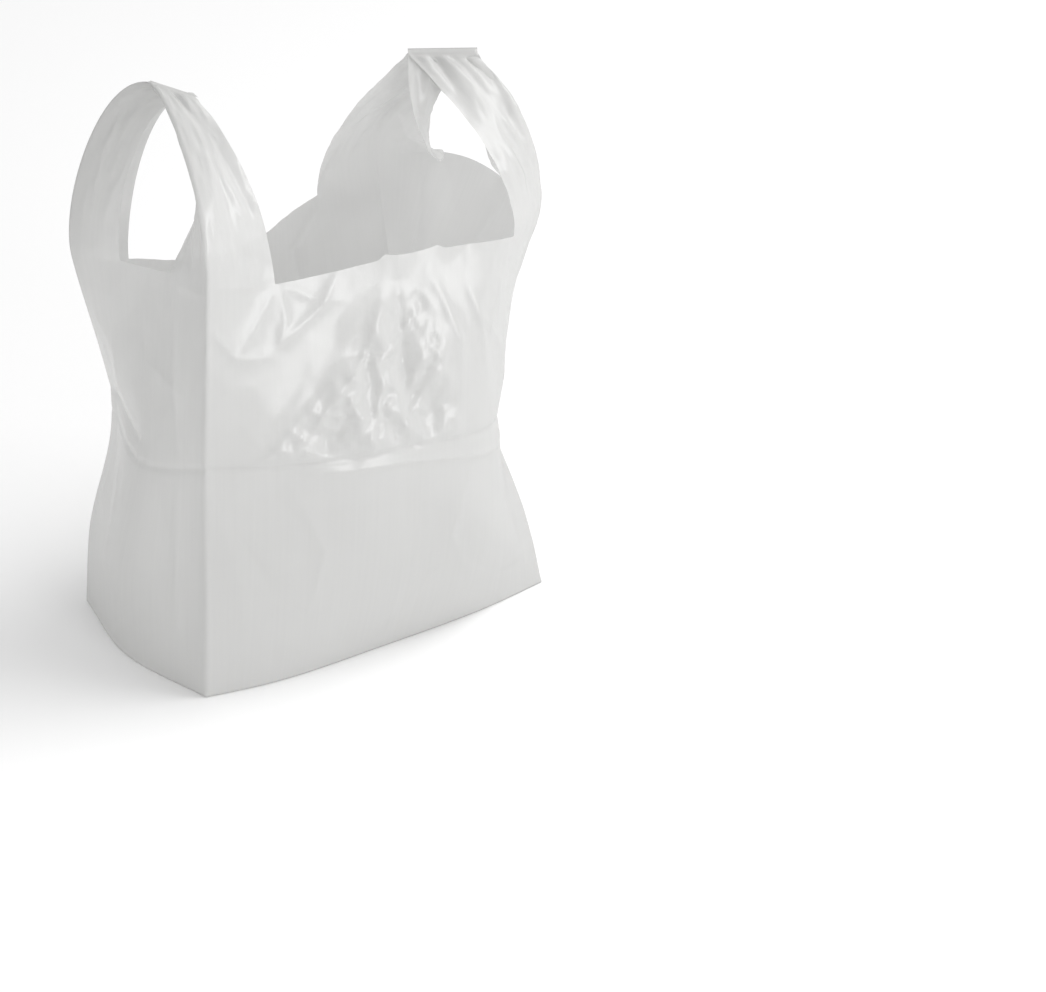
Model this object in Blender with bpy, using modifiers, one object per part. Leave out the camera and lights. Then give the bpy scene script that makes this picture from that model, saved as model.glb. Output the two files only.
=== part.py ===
"""Gusseted vest carrier bag of thin polythene film, opened and standing on its squared base.

The bag is one blown tube: two panels joined by two gussets, sealed flat across the bottom and
across the two handle tops, with the mouth and both hand holes cut in one stroke.
Lengths are in metres, +Z is up and the origin is the centre of the base.
"""

import math

import bmesh
import bpy
from mathutils import Vector

MM = 0.001

# flat sizes of the film, before the bag is opened
PANEL = 280 * MM
GUSSET = 152 * MM
MOUTH_HEIGHT = 320 * MM
SEAL_HEIGHT = 457 * MM
STRIP_AT_MOUTH = 48 * MM
STRIP_AT_SEAL = 45 * MM
TONGUE_WIDTH = 36 * MM
TONGUE_RISE = 4 * MM

# thickness of the solid, which stands in for a film of about 0.02 mm
WALL = 0.5 * MM
FOLD_CHAMFER = 2.2 * MM
FOLD_RADIUS = 1.2 * MM
LAYER_GAP = 0.5 * MM
SEAL_THICKNESS = 7.6 * MM
SEAL_DEPTH = 9 * MM

# how the grid is divided
BODY_ROWS = 14
HANDLE_ROWS = 12
SEAL_EXTRA = 2 * MM

# the standing bag, as level rings in millimetres. Each ring runs from the front left fold
# along the front panel, round the right gusset, back along the back panel and round the
# left gusset: fold, strip edge, middle, strip edge, fold, gusset middle, and again
RINGS = {
    0: (
        (-135, -70, 0), (-90, -80, 0), (0, -85, 0), (90, -85, 0), (135, -80, 0), (145, 0, 0),
        (140, 75, 0), (90, 80, 0), (0, 85, 0), (-95, 80, 0), (-145, 80, 0), (-155, 5, 0),
    ),
    60: (
        (-135, -75, 60), (-90, -90, 55), (0, -105, 55), (85, -105, 55), (125, -75, 55), (120, 0, 60),
        (125, 70, 60), (80, 85, 65), (-5, 95, 65), (-95, 85, 65), (-145, 70, 60), (-160, -5, 60),
    ),
    190: (
        (-130, -75, 185), (-85, -95, 180), (0, -120, 175), (80, -110, 170), (100, -60, 170), (65, -10, 175),
        (90, 35, 175), (50, 55, 175), (-35, 65, 175), (-105, 55, 175), (-140, 35, 180), (-155, -30, 175),
    ),
    320: (
        (-120, -70, 315), (-70, -70, 305), (20, -95, 310), (95, -105, 305), (125, -65, 300), (125, -5, 310),
        (80, 45, 300), (30, 40, 290), (-50, 20, 280), (-120, 35, 290), (-155, 50, 295), (-130, -10, 310),
    ),
}

# the two handle seals: the end on the fold side and the end on the mouth side, and the way
# each strip runs into its seal
SEALS = {
    "left": {
        "outer": (-110, 10, 425), "inner": (-80, -25, 400),
        "front": (0.05, 0.80, 0.35), "back": (0.25, -0.75, 0.45),
    },
    "right": {
        "outer": (120, -25, 400), "inner": (80, 0, 400),
        "front": (-0.25, 0.75, 0.45), "back": (0.20, -0.60, 0.65),
    },
}

FILM_COLOUR = (0.86, 0.86, 0.85, 1.0)
FILM_ROUGHNESS = 0.38


def smooth_through(knots, points, at):
    """Point at a place on the curve through the points, which lie at the knots."""
    i = max(k for k in range(len(knots) - 1) if knots[k] <= at or k == 0)
    span = knots[i + 1] - knots[i]
    t = (at - knots[i]) / span

    def slope(k):
        if k == 0:
            return (points[1] - points[0]) / (knots[1] - knots[0])
        if k == len(knots) - 1:
            return (points[k] - points[k - 1]) / (knots[k] - knots[k - 1])
        before = knots[k] - knots[k - 1]
        after = knots[k + 1] - knots[k]
        into = (points[k] - points[k - 1]) / before
        out = (points[k + 1] - points[k]) / after
        return (into * after + out * before) / (before + after)

    return hermite(points[i], slope(i) * span, points[i + 1], slope(i + 1) * span, t)


def hermite(start, start_slope, end, end_slope, t):
    return (
        start * (2 * t ** 3 - 3 * t ** 2 + 1)
        + start_slope * (t ** 3 - 2 * t ** 2 + t)
        + end * (3 * t ** 2 - 2 * t ** 3)
        + end_slope * (t ** 3 - t ** 2)
    )


def side_points(ring, side):
    """The knots and points of one side: 0 front, 1 right gusset, 2 back, 3 left gusset."""
    points = [Vector(p) * MM for p in ring]
    points.append(points[0])
    if side in (0, 2):
        first = 3 * side
        knots = (0, STRIP_AT_MOUTH, PANEL / 2, PANEL - STRIP_AT_MOUTH, PANEL)
        return knots, points[first:first + 5]
    first = 4 if side == 1 else 10
    return (0, GUSSET / 2, GUSSET), points[first:first + 3]


def body_point(side, across, height):
    """Point on the body at a distance across one side and a height up the film."""
    levels = [level * MM for level in RINGS]
    column = []
    for ring in RINGS.values():
        knots, points = side_points(ring, side)
        column.append(smooth_through(knots, points, across))
    return smooth_through(levels, column, height)


def strip_place(side, across):
    """Where a point lies in its strip: handle, front or back, panel or gusset part, share."""
    panel = side in (0, 2)
    width = PANEL if panel else GUSSET
    near_start = across < width / 2
    share = (across if near_start else width - across) / STRIP_AT_MOUTH
    left = side == 3 or (panel and near_start == (side == 0))
    front = side == 0 or (not panel and near_start == (side == 1))
    return "left" if left else "right", front, panel, share


def strip_starts(handle, front):
    """The side and distance of a strip's fold, its panel edge and its gusset edge."""
    strip = STRIP_AT_MOUTH
    if front:
        panel, gusset = 0, 3 if handle == "left" else 1
    else:
        panel, gusset = 2, 3 if handle == "left" else 1
    at_start = (handle == "left") == front
    fold = (panel, 0 if at_start else PANEL)
    panel_edge = (panel, strip if at_start else PANEL - strip)
    gusset_edge = (gusset, GUSSET - strip if at_start else strip)
    return fold, panel_edge, gusset_edge


def seal_frame(handle):
    """Outer end, inner end and the direction across the layers of a handle's seal."""
    seal = SEALS[handle]
    outer = Vector(seal["outer"]) * MM
    inner = Vector(seal["inner"]) * MM
    along = (inner - outer).normalized()
    into = Vector(seal["back"]) - Vector(seal["front"])
    across = (into - along * into.dot(along)).normalized()
    return outer, inner, across


def rail(place, end, into, climb):
    """Point on an edge of a strip, which leaves the body smoothly and runs into the seal."""
    length = SEAL_HEIGHT - MOUTH_HEIGHT
    step = 1 * MM
    start = body_point(*place, MOUTH_HEIGHT)
    rise = (start - body_point(*place, MOUTH_HEIGHT - step)) / step
    return hermite(start, rise * length, end, into * length, climb)


def strip_frame(handle, front, climb):
    """A strip's fold and panel edge at one height, and the direction of its gusset side."""
    outer, inner, out = seal_frame(handle)
    middle = (out if front else -out) * (LAYER_GAP + FOLD_RADIUS)
    into = Vector(SEALS[handle]["front" if front else "back"])
    fold_place, edge_place, gusset_place = strip_starts(handle, front)
    fold = rail(fold_place, outer + middle, into, climb)
    edge = rail(edge_place, inner + middle, into, climb)
    ahead = rail(fold_place, outer + middle, into, climb + 0.01)
    across = (edge - fold).normalized()
    turn = 1 if (handle == "left") == front else -1
    inward = (ahead - fold).cross(across) * turn
    return fold, edge, inward.normalized()


def opening_angle(handle, front):
    """Angle between the panel part and the gusset part of a strip at the mouth."""
    fold, panel_edge, gusset_edge = [
        body_point(*place, MOUTH_HEIGHT) for place in strip_starts(handle, front)
    ]
    return (panel_edge - fold).angle(gusset_edge - fold)


def strip_point(side, across, climb):
    """Point on a handle strip: climb is 0 at the mouth and 1 at the seal."""
    handle, front, panel, share = strip_place(side, across)
    start = body_point(side, across, MOUTH_HEIGHT)
    return strip_sheet(handle, front, panel, share, climb) + (
        start - strip_sheet(handle, front, panel, share, 0)
    ) * (1 - climb) ** 2 * (1 + 2 * climb)


def strip_sheet(handle, front, panel, share, climb):
    """One flat half of a folded strip, held off its other half by the round of the fold."""
    fold, edge, inward = strip_frame(handle, front, climb)
    held_off = FOLD_RADIUS * min(1, 3 * climb)
    if panel:
        return fold.lerp(edge, share) - inward * held_off
    angle = opening_angle(handle, front) * (1 - climb) ** 1.2
    width = edge - fold
    along = width.normalized()
    reach = (along * math.cos(angle) + inward * math.sin(angle)) * width.length
    lift = inward * math.cos(angle) - along * math.sin(angle)
    return fold + reach * share + lift * held_off


def mouth_height(side, across):
    """Height of the cut edge, with the small tongue left at the middle of each panel."""
    if side in (0, 2) and abs(across - PANEL / 2) < TONGUE_WIDTH / 2:
        return MOUTH_HEIGHT + TONGUE_RISE
    return MOUTH_HEIGHT


def columns(side):
    """Distances across one side where the grid has a line of points."""
    strip = STRIP_AT_MOUTH
    first = [FOLD_CHAMFER, strip / 3, strip * 2 / 3, strip]
    if side in (0, 2):
        tongue = TONGUE_WIDTH / 2
        middle = [strip + (PANEL / 2 - tongue - strip) * k / 4 for k in (1, 2, 3)]
        middle += [PANEL / 2 - tongue, PANEL / 2 - tongue + 2 * MM, PANEL / 2]
        width = PANEL
    else:
        middle = [GUSSET / 2 - (GUSSET / 2 - strip) / 2, GUSSET / 2]
        width = GUSSET
    half = first + middle
    return half + [width - place for place in reversed(half[:-1])]


def build_film():
    """The film as one open surface: base, body and the four handle strips."""
    mesh = bmesh.new()
    around = [(side, across) for side in range(4) for across in columns(side)]
    grid = []
    for row in range(BODY_ROWS + 1):
        share = row / BODY_ROWS
        line = []
        for side, across in around:
            line.append(mesh.verts.new(body_point(side, across, share * mouth_height(side, across))))
        grid.append(line)
    count = len(around)
    for row in range(BODY_ROWS):
        for k in range(count):
            after = (k + 1) % count
            mesh.faces.new((grid[row][k], grid[row][after], grid[row + 1][after], grid[row + 1][k]))
    add_base(mesh, grid[0])
    add_strips(mesh, around, grid[-1])
    film = bpy.data.meshes.new("film")
    mesh.to_mesh(film)
    mesh.free()
    return film


def add_base(mesh, ring):
    """Flat squared base, as a grid between the four sides' lowest points."""
    panel = len(columns(0))
    gusset = len(columns(1))
    front = ring[:panel]
    right = ring[panel:panel + gusset]
    back = ring[panel + gusset:2 * panel + gusset][::-1]
    left = ring[2 * panel + gusset:][::-1]
    rows = [front]
    for j in range(gusset):
        start = left[j]
        end = right[j]
        share_y = (j + 1) / (gusset + 1)
        line = [start]
        for i in range(1, panel - 1):
            share_x = i / (panel - 1)
            bottom = front[i].co.lerp(back[i].co, share_y)
            edge = start.co.lerp(end.co, share_x)
            corner = front[0].co.lerp(front[-1].co, share_x).lerp(
                back[0].co.lerp(back[-1].co, share_x), share_y
            )
            line.append(mesh.verts.new(bottom + edge - corner))
        line.append(end)
        rows.append(line)
    rows.append(back)
    for low, high in zip(rows, rows[1:]):
        for i in range(panel - 1):
            mesh.faces.new((low[i], high[i], high[i + 1], low[i + 1]))


def add_strips(mesh, around, mouth):
    """The four strips, each a panel part and a gusset part joined at its fold."""
    margin = 0.1 * MM
    count = len(around)
    lines = {}
    for k, (side, across) in enumerate(around):
        width = PANEL if side in (0, 2) else GUSSET
        if min(across, width - across) > STRIP_AT_MOUTH + margin:
            continue
        line = [mouth[k]]
        for row in range(1, HANDLE_ROWS + 1):
            climb = row / HANDLE_ROWS
            line.append(mesh.verts.new(strip_point(side, across, climb)))
        lines[k] = line
    for k in lines:
        after = (k + 1) % count
        if after not in lines:
            continue
        side, across = around[k]
        next_side, next_across = around[after]
        if side == next_side and next_across - across > STRIP_AT_MOUTH / 2:
            continue
        for row in range(HANDLE_ROWS):
            low = (lines[k][row], lines[after][row])
            high = (lines[after][row + 1], lines[k][row + 1])
            mesh.faces.new(low + high)


def seal_bar(name):
    """The heat seal across a handle top, where all four layers are welded flat."""
    outer, inner, across = seal_frame(name)
    along = (inner - outer).normalized()
    rise = across.cross(along)
    if rise.z < 0:
        rise = -rise
    mesh = bmesh.new()
    bmesh.ops.create_cube(mesh, size=1)
    length = (inner - outer).length * STRIP_AT_MOUTH / STRIP_AT_SEAL + 2 * SEAL_EXTRA
    middle = outer.lerp(inner, STRIP_AT_MOUTH / STRIP_AT_SEAL / 2)
    for vert in mesh.verts:
        x, y, z = vert.co
        vert.co = middle + along * x * length + across * y * SEAL_THICKNESS + rise * z * SEAL_DEPTH
    bmesh.ops.recalc_face_normals(mesh, faces=mesh.faces)
    bar = bpy.data.meshes.new("seal_" + name)
    mesh.to_mesh(bar)
    mesh.free()
    return bar


def film_material():
    material = bpy.data.materials.new("blown_polythene_film")
    material.use_nodes = True
    shader = material.node_tree.nodes["Principled BSDF"]
    shader.inputs["Base Color"].default_value = FILM_COLOUR
    shader.inputs["Roughness"].default_value = FILM_ROUGHNESS
    shader.inputs["Metallic"].default_value = 0.0
    return material


def clear_scene():
    for thing in list(bpy.data.objects):
        bpy.data.objects.remove(thing, do_unlink=True)


def collection(name):
    group = bpy.data.collections.new(name)
    bpy.context.scene.collection.children.link(group)
    return group


def main():
    clear_scene()
    parts = collection("carrier_bag")
    cutters = collection("joining_pieces")
    bag = bpy.data.objects.new("carrier_bag", build_film())
    parts.objects.link(bag)
    bag.data.materials.append(film_material())
    shell = bag.modifiers.new("film thickness", "SOLIDIFY")
    shell.thickness = WALL
    shell.offset = -1
    shell.use_even_offset = True
    shell.thickness_clamp = 0
    for name in SEALS:
        bar = bpy.data.objects.new("seal_" + name, seal_bar(name))
        bar.hide_render = True
        bar.display_type = "WIRE"
        cutters.objects.link(bar)
        join = bag.modifiers.new("weld " + name, "BOOLEAN")
        join.operation = "UNION"
        join.solver = "EXACT"
        join.object = bar
    bag.data.shade_smooth()
    bag.data.set_sharp_from_angle(angle=math.radians(40))


main()
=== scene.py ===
"""Opened vest carrier bag of thin white polythene film, standing on its squared base.

The film is laid out flat first, as distances round the bag and up it, and every crease and
wrinkle is placed on that flat film. The standing shape then carries them.
"""

import math

import bpy
import numpy as np
from bpy.props import FloatProperty, FloatVectorProperty, PointerProperty
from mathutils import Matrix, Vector


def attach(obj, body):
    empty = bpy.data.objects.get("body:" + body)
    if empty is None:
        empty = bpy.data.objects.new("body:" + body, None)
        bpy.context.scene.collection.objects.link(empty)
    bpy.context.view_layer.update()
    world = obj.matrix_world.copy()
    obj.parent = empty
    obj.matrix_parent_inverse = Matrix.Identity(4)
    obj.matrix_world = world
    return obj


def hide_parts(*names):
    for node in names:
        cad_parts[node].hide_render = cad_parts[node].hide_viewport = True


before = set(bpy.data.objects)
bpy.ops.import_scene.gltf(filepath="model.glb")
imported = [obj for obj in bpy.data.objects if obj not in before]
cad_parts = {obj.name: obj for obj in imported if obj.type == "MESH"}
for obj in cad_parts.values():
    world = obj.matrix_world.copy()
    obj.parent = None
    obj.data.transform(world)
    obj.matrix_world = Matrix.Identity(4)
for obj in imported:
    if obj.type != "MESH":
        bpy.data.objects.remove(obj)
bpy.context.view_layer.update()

bl_info = {
    "name": "Vest carrier bag",
    "version": (1, 0, 0),
    "blender": (4, 5, 0),
    "location": "View3D > Sidebar > Carrier bag",
    "description": "Builds an opened vest carrier bag of thin film, and its studio",
    "category": "Add Mesh",
}

MM = 0.001

# flat sizes of the film, in millimetres
PANEL = 280.0
GUSSET = 152.0
AROUND = 2 * (PANEL + GUSSET)
MOUTH = 320.0
SEAL = 457.0
STRIP = 48.0

# the folds, the gap between the sealed layers, and the fin above a handle's seal
FOLD_EDGE = 0.8
FOLD_RADIUS = 0.7
LAYER_GAP = 0.35
FIN = 3.0

# grid rows below the mouth over which the film stretches to meet the cut edge
RELEASE_ROWS = 10

# what is left of the punched-out tongue: two small peaks, and how far the gussets dip
PEAKS = (122.0, 160.0)
PEAK_HEIGHTS = (3.2, 2.6)
PEAK_SPREAD = 9.0
GUSSET_DIP = 2.5

# level rings of the standing bag, in millimetres up the film. Each runs from the front left
# fold along the front panel, round the right gusset, back along the back panel and round
# the left gusset: fold, strip edge, middle, strip edge, fold, gusset middle, and again
RINGS = {
    0: (
        (-135, -70, 0), (-90, -80, 0), (0, -85, 0), (90, -85, 0), (135, -80, 0), (145, 0, 0),
        (140, 75, 0), (90, 80, 0), (0, 85, 0), (-95, 80, 0), (-145, 80, 0), (-155, 5, 0),
    ),
    60: (
        (-135, -75, 60), (-90, -90, 55), (0, -105, 55), (85, -105, 55), (125, -75, 55), (120, 0, 60),
        (125, 70, 60), (80, 85, 65), (-5, 95, 65), (-95, 85, 65), (-145, 70, 60), (-160, -5, 60),
    ),
    190: (
        (-130, -75, 185), (-85, -95, 180), (0, -120, 175), (80, -110, 170), (100, -60, 170), (65, -10, 175),
        (90, 35, 175), (50, 55, 175), (-35, 65, 175), (-105, 55, 175), (-140, 35, 180), (-155, -30, 175),
    ),
    320: (
        (-120, -70, 315), (-70, -70, 305), (20, -95, 310), (95, -105, 305), (130, -80, 290), (130, -5, 310),
        (80, 45, 300), (30, 40, 290), (-50, 20, 280), (-120, 35, 290), (-155, 50, 295), (-130, -10, 310),
    ),
}

# handle seals: the end on the fold side, the end on the mouth side, and how each strip
# runs into its seal, which way the sealed fin points, and how late the front and back
# strips close up along their folds
SEALS = {
    "left": {
        "outer": (-110, 10, 428), "inner": (-92, -18, 424),
        "front": (0.05, 1.00, 0.05), "back": (0.25, -1.00, 0.05),
        "fin": (0.00, 0.98, 0.12), "closing": (0.6, 1.2),
    },
    "right": {
        "outer": (120, -25, 400), "inner": (80, 0, 400),
        "front": (-0.25, 0.75, 0.45), "back": (0.20, -0.60, 0.65),
        "fin": (0.00, 0.15, 0.98), "closing": (1.2, 0.6),
    },
}

FRONT, RIGHT, BACK, LEFT = range(4)
SIDE_WIDTH = (PANEL, GUSSET, PANEL, GUSSET)

# where each side starts on the unrolled film. The left gusset lies before the front panel
SIDE_START = (0.0, PANEL, PANEL + GUSSET, -GUSSET)


# ---------------------------------------------------------------- curves

def curve_weights(knots, at):
    """Weights that turn values at the knots into values on a smooth curve through them."""
    knots = np.asarray(knots, float)
    at = np.asarray(at, float)
    count = len(knots)
    slopes = np.zeros((count, count))
    gaps = np.diff(knots)
    for k in range(count):
        if k in (0, count - 1):
            j = min(k, count - 2)
            slopes[k, j] = -1 / gaps[j]
            slopes[k, j + 1] = 1 / gaps[j]
            continue
        before, after = gaps[k - 1], gaps[k]
        total = before + after
        slopes[k, k - 1] = -after / before / total
        slopes[k, k + 1] = before / after / total
        slopes[k, k] = after / before / total - before / after / total
    span = np.clip(np.searchsorted(knots, at, side="right") - 1, 0, count - 2)
    t = (at - knots[span]) / gaps[span]
    eye = np.eye(count)
    h00, h10, h01, h11 = hermite_terms(t)
    width = gaps[span]
    return (
        h00[:, None] * eye[span]
        + (h10 * width)[:, None] * slopes[span]
        + h01[:, None] * eye[span + 1]
        + (h11 * width)[:, None] * slopes[span + 1]
    )


def hermite_terms(t):
    t = np.asarray(t, float)
    return (
        2 * t ** 3 - 3 * t ** 2 + 1,
        t ** 3 - 2 * t ** 2 + t,
        3 * t ** 2 - 2 * t ** 3,
        t ** 3 - t ** 2,
    )


def unit(vectors):
    """The same directions with a length of one."""
    return vectors / np.linalg.norm(vectors, axis=-1, keepdims=True)


def smooth_step(low, high, value):
    t = np.clip((value - low) / (high - low), 0, 1)
    return t * t * (3 - 2 * t)


# ---------------------------------------------------------------- standing shape

def side_ring(ring, side):
    """Knots and points of one side of a level ring."""
    points = np.array(ring + (ring[0],), float)
    if side in (FRONT, BACK):
        first = 0 if side == FRONT else 6
        return (0, STRIP, PANEL / 2, PANEL - STRIP, PANEL), points[first:first + 5]
    first = 4 if side == RIGHT else 10
    return (0, GUSSET / 2, GUSSET), points[first:first + 3]


def body_points(side, across, height):
    """Points of one side at distances across it and heights up the film."""
    across = np.atleast_1d(np.asarray(across, float))
    height = np.atleast_1d(np.asarray(height, float))
    across, height = np.broadcast_arrays(across, height)
    levels = []
    for ring in RINGS.values():
        knots, points = side_ring(ring, side)
        levels.append(curve_weights(knots, across) @ points)
    climb = curve_weights(list(RINGS), height)
    return np.einsum("nl,lnk->nk", climb, np.array(levels))


def strip_starts(handle, front):
    """The side and distance of a strip's fold, its panel edge and its gusset edge."""
    gusset = LEFT if handle == "left" else RIGHT
    panel = FRONT if front else BACK
    at_start = (handle == "left") == front
    fold = (panel, 0.0 if at_start else PANEL)
    panel_edge = (panel, STRIP if at_start else PANEL - STRIP)
    gusset_edge = (gusset, GUSSET - STRIP if at_start else STRIP)
    return fold, panel_edge, gusset_edge


def seal_frame(handle):
    """Outer end, inner end and the direction across the layers of a handle's seal."""
    seal = SEALS[handle]
    outer = np.array(seal["outer"], float)
    inner = np.array(seal["inner"], float)
    along = unit(inner - outer)
    into = np.array(seal["back"]) - np.array(seal["front"])
    return outer, inner, unit(into - along * (into @ along))


def rail(place, end, into, climb):
    """Edge of a strip, which leaves the body smoothly and runs into the seal."""
    side, across = place
    length = SEAL - MOUTH
    start, below = body_points(side, across, [MOUTH, MOUTH - 1])
    terms = hermite_terms(climb)
    parts = (start, (start - below) * length, end, into * length)
    return sum(term[:, None] * part for term, part in zip(terms, parts))


def strip_frame(handle, front, climb):
    """A strip's fold, its panel edge and the direction of its gusset side."""
    outer, inner, out = seal_frame(handle)
    middle = (out if front else -out) * (LAYER_GAP + FOLD_RADIUS)
    into = np.array(SEALS[handle]["front" if front else "back"])
    fold_place, edge_place, _ = strip_starts(handle, front)
    fold = rail(fold_place, outer + middle, into, climb)
    ahead = rail(fold_place, outer + middle, into, climb + 0.01)
    edge = rail(edge_place, inner + middle, into, climb)
    turn = 1 if (handle == "left") == front else -1
    inward = unit(np.cross(ahead - fold, unit(edge - fold)) * turn)
    return fold, edge, inward


def strip_sheet(handle, front, panel, share, climb):
    """One half of a folded strip, held off its other half by the round of the fold."""
    fold, edge, inward = strip_frame(handle, front, climb)
    held_off = (FOLD_RADIUS * np.minimum(1, 3 * climb))[:, None]
    share = np.asarray(share, float)[:, None]
    if panel:
        return fold + (edge - fold) * share - inward * held_off
    corner, panel_edge, gusset_edge = [
        body_points(side, across, MOUTH)[0] for side, across in strip_starts(handle, front)
    ]
    opening = math.acos(float(unit(panel_edge - corner) @ unit(gusset_edge - corner)))
    closing = SEALS[handle]["closing"][0 if front else 1]
    angle = (opening * (1 - climb) ** closing)[:, None]
    width = np.linalg.norm(edge - fold, axis=1, keepdims=True)
    along = (edge - fold) / width
    reach = (along * np.cos(angle) + inward * np.sin(angle)) * width
    lift = inward * np.cos(angle) - along * np.sin(angle)
    return fold + reach * share + lift * held_off


def is_left(side, across):
    """Whether a strip at this place belongs to the left handle."""
    return side == LEFT or (side in (FRONT, BACK) and (across < SIDE_WIDTH[side] / 2) == (side == FRONT))


def strip_points(side, across, climb):
    """Points of one handle strip. climb is 0 at the mouth and 1 at the seal."""
    panel = side in (FRONT, BACK)
    width = SIDE_WIDTH[side]
    near_start = across < width / 2
    share = (across if near_start else width - across) / STRIP
    front = side == FRONT or (not panel and near_start == (side == RIGHT))
    handle = "left" if is_left(side, across) else "right"
    shares = np.full(len(climb), share)
    start = body_points(side, across, MOUTH)[0]
    at_mouth = strip_sheet(handle, front, panel, np.array([share]), np.zeros(1))[0]
    fade = ((1 - climb) ** 2 * (1 + 2 * climb))[:, None]
    return strip_sheet(handle, front, panel, shares, climb) + (start - at_mouth) * fade


# ---------------------------------------------------------------- flat film

def columns(side, step):
    """Distances across one side where the grid has a line of points."""
    width = SIDE_WIDTH[side]
    marks = [FOLD_EDGE, STRIP, width / 2, width - STRIP, width - FOLD_EDGE]
    places = []
    for low, high in zip(marks, marks[1:]):
        count = max(1, round((high - low) / step))
        places += list(np.linspace(low, high, count + 1)[:-1])
    return np.array(places + [marks[-1]])


def mouth_height(side, across):
    """Height of the cut edge: level, with what is left of the punched-out tongue."""
    if side in (RIGHT, LEFT):
        share = np.clip((across - STRIP) / (GUSSET - 2 * STRIP), 0, 1)
        return MOUTH - GUSSET_DIP * np.sin(share * math.pi)
    first, last = PEAKS
    near = np.exp(-np.maximum(0, across - first) / PEAK_SPREAD) * (across >= first - 1)
    near += np.clip((across - (first - 5)) / 4, 0, 1) * (across < first - 1)
    far = np.exp(-np.maximum(0, last - across) / PEAK_SPREAD) * (across <= last + 1)
    far += np.clip((last + 7 - across) / 6, 0, 1) * (across > last + 1)
    return MOUTH + PEAK_HEIGHTS[0] * near + PEAK_HEIGHTS[1] * far


class Film:
    """Grid of the film: where each point lies flat and where it stands."""

    def __init__(self, step):
        self.step = step
        self.points = []
        self.flat = []
        self.faces = []
        self.build_body()
        self.build_base()
        self.build_strips()
        self.points = np.array(self.points)
        self.flat = np.array(self.flat)

    def add(self, points, around, height):
        start = len(self.points)
        self.points += list(points)
        around = np.broadcast_to(around, len(points))
        height = np.broadcast_to(height, len(points))
        self.flat += list(zip(around, height))
        return list(range(start, start + len(points)))

    def build_body(self):
        rows = round(MOUTH / self.step)
        base = np.linspace(0, 1, rows + 1)
        release = smooth_step(1 - RELEASE_ROWS / rows, 1, base)
        self.columns = []
        self.lines = []
        for side in (FRONT, RIGHT, BACK, LEFT):
            for across in columns(side, self.step):
                top = mouth_height(side, np.array([across]))[0]
                if min(across, SIDE_WIDTH[side] - across) <= STRIP:
                    top = MOUTH
                height = base * MOUTH + (top - MOUTH) * release
                points = body_points(side, across, height)
                self.columns.append((side, across))
                self.lines.append(self.add(points, SIDE_START[side] + across, height))
        for line, after in zip(self.lines, self.lines[1:] + self.lines[:1]):
            for row in range(rows):
                self.faces.append((line[row], after[row], after[row + 1], line[row + 1]))

    def build_base(self):
        count = [len(columns(side, self.step)) for side in range(4)]
        ring = [line[0] for line in self.lines]
        ends = np.cumsum([0] + count)
        front, right, back, left = [ring[ends[k]:ends[k + 1]] for k in range(4)]
        back, left = back[::-1], left[::-1]
        where = lambda index: np.array(self.points[index])
        share_x = np.linspace(0, 1, len(front))[:, None]
        rows = [front]
        for j, (start, end) in enumerate(zip(left, right)):
            share = (j + 1) / (len(left) + 1)
            low = np.array([self.points[k] for k in front])
            high = np.array([self.points[k] for k in back])
            cross = low + (high - low) * share
            edge = where(start) + (where(end) - where(start)) * share_x
            corner_low = low[0] + (low[-1] - low[0]) * share_x
            corner_high = high[0] + (high[-1] - high[0]) * share_x
            grid = cross + edge - corner_low - (corner_high - corner_low) * share
            inner = self.add(grid[1:-1], np.linspace(0, PANEL, len(front))[1:-1], -GUSSET * share)
            rows.append([start] + inner + [end])
        rows.append(back)
        for low, high in zip(rows, rows[1:]):
            for i in range(len(front) - 1):
                self.faces.append((low[i], high[i], high[i + 1], low[i + 1]))

    def build_strips(self):
        rows = round((SEAL - MOUTH) / self.step)
        climb = np.linspace(0, 1, rows + 1)[1:]
        strips = {}
        for k, (side, across) in enumerate(self.columns):
            if min(across, SIDE_WIDTH[side] - across) > STRIP + 0.01:
                continue
            points = strip_points(side, across, climb)
            height = MOUTH + climb * (SEAL - MOUTH)
            fin = np.array(SEALS["left" if is_left(side, across) else "right"]["fin"])
            points = np.vstack((points, points[-1] + fin * FIN / 2, points[-1] + fin * FIN))
            height = np.append(height, (SEAL + FIN / 2, SEAL + FIN))
            strips[k] = [self.lines[k][-1]] + self.add(points, SIDE_START[side] + across, height)
        for k, line in strips.items():
            after = (k + 1) % len(self.columns)
            side, across = self.columns[k]
            if after not in strips:
                continue
            if self.columns[after][0] == side and self.columns[after][1] - across > 2 * self.step:
                continue
            for row in range(rows + 2):
                low = (line[row], strips[after][row])
                self.faces.append(low + (strips[after][row + 1], line[row + 1]))


# ---------------------------------------------------------------- creases

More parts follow.
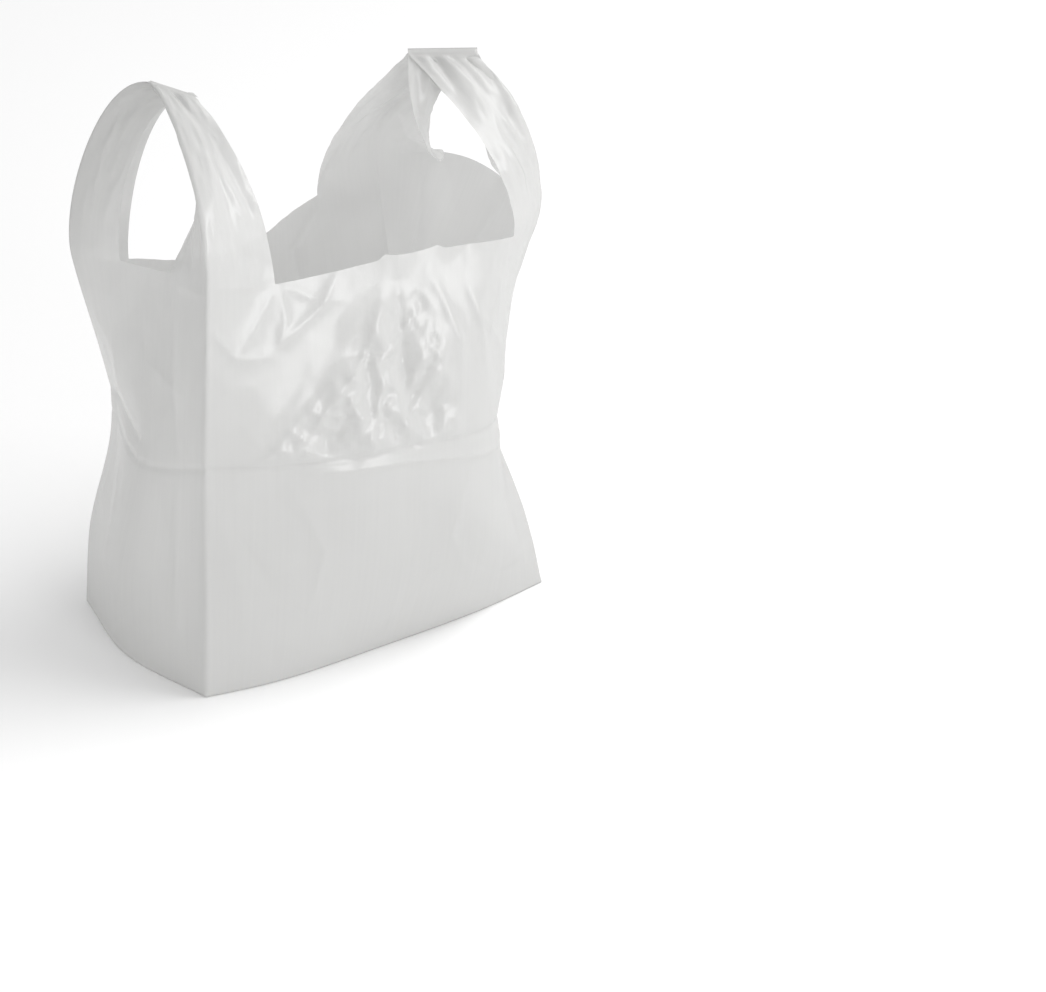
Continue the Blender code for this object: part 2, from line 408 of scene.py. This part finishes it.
# creases on the flat film: height and spread in millimetres, then the points they run
# through, as distance round the bag and height up it
CREASES = (
    # the front left fold, and the fold from storing the bag at half its length
    (1.0, 1.6, ((0, 5), (0, 320))),
    (-1.9, 2.2, ((-152, 190), (0, 190), (140, 195), (280, 190))),
    (-1.9, 2.2, ((280, 190), (560, 190), (712, 190))),
    (1.6, 2.4, ((70, 185), (135, 185), (205, 175), (240, 175))),
    # the pinched waist, on both sides
    (-5.0, 15.0, ((-152, 210), (-80, 205))),
    (-5.0, 15.0, ((640, 205), (712, 210))),
    (-5.0, 15.0, ((220, 195), (330, 195))),
    # sharp creases in the crumpled patch
    (1.9, 1.8, ((60, 205), (85, 235), (105, 260))),
    (-1.7, 1.8, ((85, 205), (95, 225), (120, 250))),
    (1.9, 1.8, ((110, 205), (120, 240), (110, 270))),
    (1.7, 1.8, ((150, 205), (140, 230), (150, 260))),
    (-1.6, 1.8, ((130, 205), (150, 235), (160, 260))),
    (1.7, 1.8, ((95, 250), (125, 260), (145, 285))),
    (1.5, 1.8, ((70, 230), (100, 220), (130, 230))),
    (-1.5, 1.8, ((130, 250), (150, 245), (170, 250))),
    # pulls from the corner where the mouth meets the left handle
    (0.8, 3.0, ((0, 320), (50, 320))),
    (2.2, 5.0, ((90, 320), (80, 300), (45, 275))),
    (2.0, 5.0, ((5, 290), (20, 270), (40, 270))),
    (1.6, 4.0, ((50, 320), (35, 295), (20, 270))),
    (1.6, 4.0, ((50, 320), (55, 295), (50, 280))),
    (1.3, 4.0, ((50, 320), (75, 305), (95, 300))),
    # folds that fall from the mouth
    (-2.4, 5.0, ((130, 305), (135, 270), (145, 205))),
    (1.8, 4.0, ((120, 300), (110, 270), (95, 240), (105, 205))),
    (2.2, 6.0, ((155, 305), (165, 290), (180, 260), (180, 220))),
    (2.0, 6.0, ((185, 295), (195, 275), (205, 230))),
    (1.8, 5.0, ((195, 275), (220, 250), (235, 215))),
    (1.6, 6.0, ((225, 310), (205, 260))),
    # left gusset
    (1.8, 8.0, ((-110, 320), (-115, 290), (-125, 205))),
    (1.8, 7.0, ((-50, 320), (-40, 290), (-30, 200))),
    (1.4, 6.0, ((-30, 180), (-25, 40))),
    (1.3, 4.0, ((-70, 260), (-40, 250), (-20, 240))),
    (0.9, 3.0, ((-45, 315), (0, 315))),
    (1.2, 6.0, ((-120, 175), (-105, 120), (-110, 60))),
    # soft folds below the waist
    (1.3, 7.0, ((60, 170), (80, 120), (70, 60))),
    (1.2, 7.0, ((190, 165), (175, 110), (200, 50))),
    (1.3, 7.0, ((500, 170), (525, 110), (510, 50))),
    (1.3, 7.0, ((645, 165), (630, 105), (640, 50))),
    # right gusset and back panel
    (1.8, 6.0, ((315, 320), (330, 270), (320, 215))),
    (1.8, 6.0, ((400, 320), (385, 260), (390, 210))),
    (2.0, 6.0, ((480, 310), (505, 280), (500, 225))),
    (2.0, 6.0, ((640, 310), (610, 270), (630, 220))),
    (1.6, 5.0, ((555, 300), (570, 260), (550, 205))),
)

# corners of the crumpled patch on the front panel, on the flat film
PATCH = ((40, 200), (180, 195), (165, 270), (150, 295), (120, 290))


def facets(x, y, cell, turn, seed):
    """Heights of a sheet crushed into flat triangles of random heights, from -1 to 1."""
    table = np.random.default_rng(seed).random((61, 61)) * 2 - 1
    warped_x = x + 0.35 * cell * np.sin(y / cell * 1.7 + seed)
    warped_y = y + 0.35 * cell * np.sin(x / cell * 1.3 + 2 * seed)
    a = (warped_x * math.cos(turn) + warped_y * math.sin(turn)) / cell
    b = (warped_y * math.cos(turn) - warped_x * math.sin(turn)) / cell / math.sin(math.pi / 3)
    a = a - b / 2
    i, j = np.floor(a).astype(int), np.floor(b).astype(int)
    u, v = a - i, b - j
    at = lambda di, dj: table[(i + di) % 61, (j + dj) % 61]
    low = (1 - u - v) * at(0, 0) + u * at(1, 0) + v * at(0, 1)
    high = (u + v - 1) * at(1, 1) + (1 - v) * at(1, 0) + (1 - u) * at(0, 1)
    return np.where(u + v < 1, low, high)


def crushed(x, y, cell, seed):
    """Two crushed sheets laid over one another, so the creases cross at odd angles."""
    return np.maximum(facets(x, y, cell, 0.3, seed), facets(x, y, cell * 1.3, 1.5, seed + 7)) - 0.25


def ridge(x, y, points):
    """Distance to a line of points, and how far along it the nearest spot is, from 0 to 1."""
    points = np.array(points, float)
    lengths = np.linalg.norm(np.diff(points, axis=0), axis=1)
    total = lengths.sum()
    best = np.full(len(x), 1e9)
    along = np.zeros(len(x))
    done = 0.0
    for start, end, length in zip(points, points[1:], lengths):
        way = (end - start) / length
        t = np.clip((x - start[0]) * way[0] + (y - start[1]) * way[1], 0, length)
        far = np.hypot(x - start[0] - way[0] * t, y - start[1] - way[1] * t)
        nearer = far < best
        best = np.where(nearer, far, best)
        along = np.where(nearer, (done + t) / total, along)
        done += length
    return best, along


def inside(x, y, corners, edge):
    """1 inside a shape with corners given anticlockwise, falling to 0 outside it."""
    share = np.ones(len(x))
    for (ax, ay), (bx, by) in zip(corners, corners[1:] + corners[:1]):
        length = math.hypot(bx - ax, by - ay)
        depth = ((bx - ax) * (y - ay) - (by - ay) * (x - ax)) / length
        share = np.minimum(share, smooth_step(-edge, edge, depth))
    return share


def crease_height(flat):
    """How far the film stands out of its smooth shape, in millimetres."""
    x, y = flat[:, 0], flat[:, 1]
    out = np.zeros(len(x))
    for height, spread, points in CREASES:
        far, along = ridge(x, y, points)
        taper = np.sin(np.clip(along, 0.03, 0.97) * math.pi) ** 0.5
        out += height * np.exp(-far / spread) * taper
    seam = np.minimum(x + GUSSET, AROUND - GUSSET - x)
    off_base = smooth_step(2, 40, y) * smooth_step(0, 14, seam)
    out += 2.0 * crushed(x, y * 0.6, 46.0, 3) * off_base
    out += 0.7 * crushed(x, y * 0.8, 19.0, 5) * off_base * smooth_step(120, 260, y)
    patch = inside(x, y, PATCH, 7.0)
    out += patch * (4.2 * crushed(x * 1.2, y * 0.8, 23.0, 12) + 1.8 * crushed(x + y * 0.4, y * 0.8, 9.0, 18))
    out += patch * 0.7 * crushed(x * 1.2, y, 5.5, 31)
    handle = smooth_step(MOUTH - 20, MOUTH + 40, y) * smooth_step(0, 14, seam)
    out += handle * (2.0 * crushed(x * 1.8, y * 0.5, 15.0, 23) + 0.7 * crushed(x * 1.4, y * 0.7, 7.0, 29))
    seal = smooth_step(SEAL - 40, SEAL, y)
    out += seal * 0.8 * np.sin(x / 2.1) * (1 - smooth_step(SEAL - 4, SEAL, y))
    return out * (y >= 0) * (1 - smooth_step(SEAL - 6, SEAL - 1, y))


def vertex_normals(points, faces):
    """Smooth outward directions at the grid's points."""
    corner = points[faces]
    across = np.cross(corner[:, 2] - corner[:, 0], corner[:, 3] - corner[:, 1])
    total = np.zeros_like(points)
    for k in range(4):
        np.add.at(total, faces[:, k], across)
    return total / np.maximum(np.linalg.norm(total, axis=1, keepdims=True), 1e-9)


# ---------------------------------------------------------------- materials

def linear(hex_colour):
    """sRGB hex to linear RGBA."""
    channels = [int(hex_colour[k:k + 2], 16) / 255 for k in (1, 3, 5)]
    return tuple(c / 12.92 if c <= 0.04045 else ((c + 0.055) / 1.055) ** 2.4 for c in channels) + (1.0,)


def add_node(tree, kind, settings=None, values=None, links=None):
    """Adds a node with its settings, socket values and incoming links."""
    node = tree.nodes.new(kind)
    for name, value in (settings or {}).items():
        setattr(node, name, value)
    for socket, value in (values or {}).items():
        node.inputs[socket].default_value = value
    for socket, source in (links or {}).items():
        tree.links.new(source, node.inputs[socket])
    return node


# the film's streaks are 2.5 mm apart and about 110 mm long, and its grain about 1 mm
STREAK_WIDTH = 0.0025
STREAKS_UP = 9.0
GRAINS = 900.0


def film_material(look):
    """Blown high-density polythene film, pigmented white.

    Drawing the bubble leaves faint streaks up the film, and the air cooling it leaves a
    fine grain. The eye sees a soft gloss that breaks up at creases, and a sheet thin
    enough to glow when light falls on its far side.
    """
    material = bpy.data.materials.new("blown_white_polythene_film")
    material.use_nodes = True
    tree = material.node_tree
    tree.nodes.clear()
    flat = add_node(tree, "ShaderNodeUVMap", {"uv_map": "film"})
    stretch = add_node(
        tree, "ShaderNodeMapping", values={"Scale": (1 / STREAK_WIDTH, STREAKS_UP, 1.0)},
        links={"Vector": flat.outputs["UV"]},
    )
    streaks = add_node(
        tree, "ShaderNodeTexNoise", values={"Scale": 1.0, "Detail": 4.0, "Roughness": 0.6},
        links={"Vector": stretch.outputs["Vector"]},
    )
    tint = add_node(
        tree, "ShaderNodeMix", {"data_type": "RGBA"},
        {"A": tuple(look.thin) + (1.0,), "B": tuple(look.thick) + (1.0,)},
        {"Factor": streaks.outputs["Fac"]},
    )
    grain = add_node(
        tree, "ShaderNodeTexNoise", values={"Scale": GRAINS, "Detail": 3.0},
        links={"Vector": flat.outputs["UV"]},
    )
    gloss = add_node(
        tree, "ShaderNodeMapRange",
        values={"To Min": look.roughness - 0.02, "To Max": look.roughness + 0.03},
        links={"Value": streaks.outputs["Fac"]},
    )
    bump = add_node(
        tree, "ShaderNodeBump", values={"Strength": 0.25, "Distance": 0.0002},
        links={"Height": grain.outputs["Fac"]},
    )
    sheet = add_node(
        tree, "ShaderNodeBsdfPrincipled", values={"IOR": 1.54, "Metallic": 0.0},
        links={
            "Base Color": tint.outputs["Result"], "Roughness": gloss.outputs["Result"],
            "Normal": bump.outputs["Normal"],
        },
    )
    glow = add_node(
        tree, "ShaderNodeBsdfTranslucent",
        links={"Color": tint.outputs["Result"], "Normal": bump.outputs["Normal"]},
    )
    lit = add_node(
        tree, "ShaderNodeMixShader", values={"Fac": look.glow},
        links={1: sheet.outputs["BSDF"], 2: glow.outputs["BSDF"]},
    )
    clear = add_node(tree, "ShaderNodeBsdfTransparent")
    mixed = add_node(
        tree, "ShaderNodeMixShader", values={"Fac": look.clear},
        links={1: lit.outputs["Shader"], 2: clear.outputs["BSDF"]},
    )
    add_node(tree, "ShaderNodeOutputMaterial", links={"Surface": mixed.outputs["Shader"]})
    return material


def plain_material(name, colour, roughness):
    """Matt painted studio board: pale and even, so only soft shadows show on it."""
    material = bpy.data.materials.new(name)
    material.use_nodes = True
    shader = material.node_tree.nodes["Principled BSDF"]
    shader.inputs["Base Color"].default_value = tuple(colour) + (1.0,)
    shader.inputs["Roughness"].default_value = roughness
    return material


# ---------------------------------------------------------------- settings

class FilmSettings(bpy.types.PropertyGroup):
    step: FloatProperty(
        name="Grid step", description="Distance between the film's grid lines, in mm",
        default=2.05, min=1.5, max=8,
    )
    thin: FloatVectorProperty(
        name="Thin film", description="Colour where the film is drawn thin", subtype="COLOR",
        default=linear("#dbdbda")[:3], min=0, max=1,
    )
    thick: FloatVectorProperty(
        name="Thick film", description="Colour where the film is thicker", subtype="COLOR",
        default=linear("#e0e0df")[:3], min=0, max=1,
    )
    creasing: FloatProperty(
        name="Creasing", description="How strongly the film is creased", default=1.0, min=0, max=2
    )
    roughness: FloatProperty(
        name="Roughness", description="How far the film's gloss is spread", default=0.22, min=0, max=1
    )
    glow: FloatProperty(
        name="Glow", description="Share of light that passes through the film and scatters",
        default=0.42, min=0, max=1,
    )
    clear: FloatProperty(
        name="Clear", description="Share of light that passes straight through the film",
        default=0.05, min=0, max=1,
    )


class StageSettings(bpy.types.PropertyGroup):
    floor: FloatVectorProperty(
        name="Floor", description="Colour of the studio floor", subtype="COLOR",
        default=linear("#fafafa")[:3], min=0, max=1,
    )
    key: FloatProperty(
        name="Key light", description="Power of the main softbox, in watts", default=36.0, min=0
    )
    sky: FloatProperty(
        name="Room light", description="Strength of the even light from all round", default=0.70, min=0
    )


# ---------------------------------------------------------------- operators

def make_piece(name, film, points):
    """A mesh of the film, with its flat place as UVs."""
    mesh = bpy.data.meshes.new(name)
    mesh.from_pydata((points * MM).tolist(), [], film.faces)
    layer = mesh.uv_layers.new(name="film")
    flat = film.flat * MM
    loops = np.empty(len(mesh.loops), dtype=np.int32)
    mesh.loops.foreach_get("vertex_index", loops)
    layer.data.foreach_set("uv", flat[loops].astype(np.float32).ravel())
    mesh.shade_smooth()
    piece = bpy.data.objects.new(name, mesh)
    bpy.context.scene.collection.objects.link(piece)
    return piece


class BAG_OT_film(bpy.types.Operator):
    """Build the bag's film body with its base, mouth and handles"""

    bl_idname = "carrier_bag.film"
    bl_label = "Film body"

    def execute(self, context):
        look = context.scene.carrier_film
        film = Film(look.step)
        normals = vertex_normals(film.points, np.array(film.faces))
        height = crease_height(film.flat) * look.creasing
        points = film.points + normals * height[:, None]
        points[:, 2] = np.maximum(points[:, 2], 0.0)
        piece = make_piece("bag_film", film, points)
        piece.data.materials.append(film_material(look))
        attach(piece, "root")
        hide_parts("carrier_bag")
        return {"FINISHED"}


class BAG_OT_stage(bpy.types.Operator):
    """Build the studio: floor, soft lights and camera"""

    bl_idname = "carrier_bag.stage"
    bl_label = "Studio"

    def execute(self, context):
        scene = context.scene
        look = scene.carrier_stage
        bpy.ops.mesh.primitive_plane_add(size=12.0, location=(0, 0, -0.0006))
        floor = context.object
        floor.name = "studio_floor"
        floor.data.materials.append(plain_material("matt_white_board", look.floor, 0.9))
        world = bpy.data.worlds.new("studio_room")
        world.use_nodes = True
        background = world.node_tree.nodes["Background"]
        background.inputs["Color"].default_value = (1.0, 1.0, 1.0, 1.0)
        background.inputs["Strength"].default_value = look.sky
        scene.world = world
        scene.view_settings.view_transform = "Standard"
        for name, place, size, share in SOFTBOXES:
            add_softbox(name, place, size, look.key * share)
        add_camera(scene)
        return {"FINISHED"}


# each softbox's place and size in metres, and its share of the key's power. The low one
# gives the tilted upper half of the front panel its shine
SOFTBOXES = (
    ("key", (1.2, -0.8, 2.2), 1.5, 1.0),
    ("glint", (0.1, -2.3, 0.4), 0.8, 0.4),
)


def add_softbox(name, place, size, power):
    data = bpy.data.lights.new(name, "AREA")
    data.shape = "SQUARE"
    data.size = size
    data.energy = power
    light = bpy.data.objects.new(name, data)
    light.location = place
    light.rotation_euler = (Vector((0, 0, 0.22)) - Vector(place)).to_track_quat("-Z", "Y").to_euler()
    bpy.context.scene.collection.objects.link(light)


# camera: a long lens, left of the front and looking down
VIEW_AZIMUTH = math.radians(-33.8)
VIEW_ELEVATION = math.radians(32.7)
VIEW_DISTANCE = 3.0
VIEW_LENS = 151.6
BAG_MIDDLE = Vector((0, 0, 0.22))
AIM_RIGHT = 0.1432
AIM_UP = -0.1196


def add_camera(scene):
    data = bpy.data.cameras.new("view")
    data.lens = VIEW_LENS
    data.sensor_width = 36.0
    camera = bpy.data.objects.new("view", data)
    back = Vector((
        math.sin(VIEW_AZIMUTH) * math.cos(VIEW_ELEVATION),
        -math.cos(VIEW_AZIMUTH) * math.cos(VIEW_ELEVATION),
        math.sin(VIEW_ELEVATION),
    ))
    right = Vector((math.cos(VIEW_AZIMUTH), math.sin(VIEW_AZIMUTH), 0))
    up = back.cross(right)
    aim = BAG_MIDDLE + right * AIM_RIGHT + up * AIM_UP
    camera.location = aim + back * VIEW_DISTANCE
    camera.rotation_euler = back.to_track_quat("Z", "Y").to_euler()
    scene.collection.objects.link(camera)
    scene.camera = camera


class BAG_PT_panel(bpy.types.Panel):
    """Sizes, colours and steps of the carrier bag"""

    bl_idname = "BAG_PT_panel"
    bl_label = "Carrier bag"
    bl_space_type = "VIEW_3D"
    bl_region_type = "UI"
    bl_category = "Carrier bag"

    def draw(self, context):
        layout = self.layout
        for group in (context.scene.carrier_film, context.scene.carrier_stage):
            for name in group.__annotations__:
                layout.prop(group, name)
        for step in STEPS:
            layout.operator(step.bl_idname)


STEPS = (BAG_OT_film, BAG_OT_stage)
CLASSES = (FilmSettings, StageSettings) + STEPS + (BAG_PT_panel,)


def register():
    for made in CLASSES:
        bpy.utils.register_class(made)
    bpy.types.Scene.carrier_film = PointerProperty(type=FilmSettings)
    bpy.types.Scene.carrier_stage = PointerProperty(type=StageSettings)


def unregister():
    del bpy.types.Scene.carrier_stage
    del bpy.types.Scene.carrier_film
    for made in reversed(CLASSES):
        bpy.utils.unregister_class(made)


def main():
    register()
    bpy.ops.carrier_bag.film()
    bpy.ops.carrier_bag.stage()


if __name__ == "__main__":
    main()
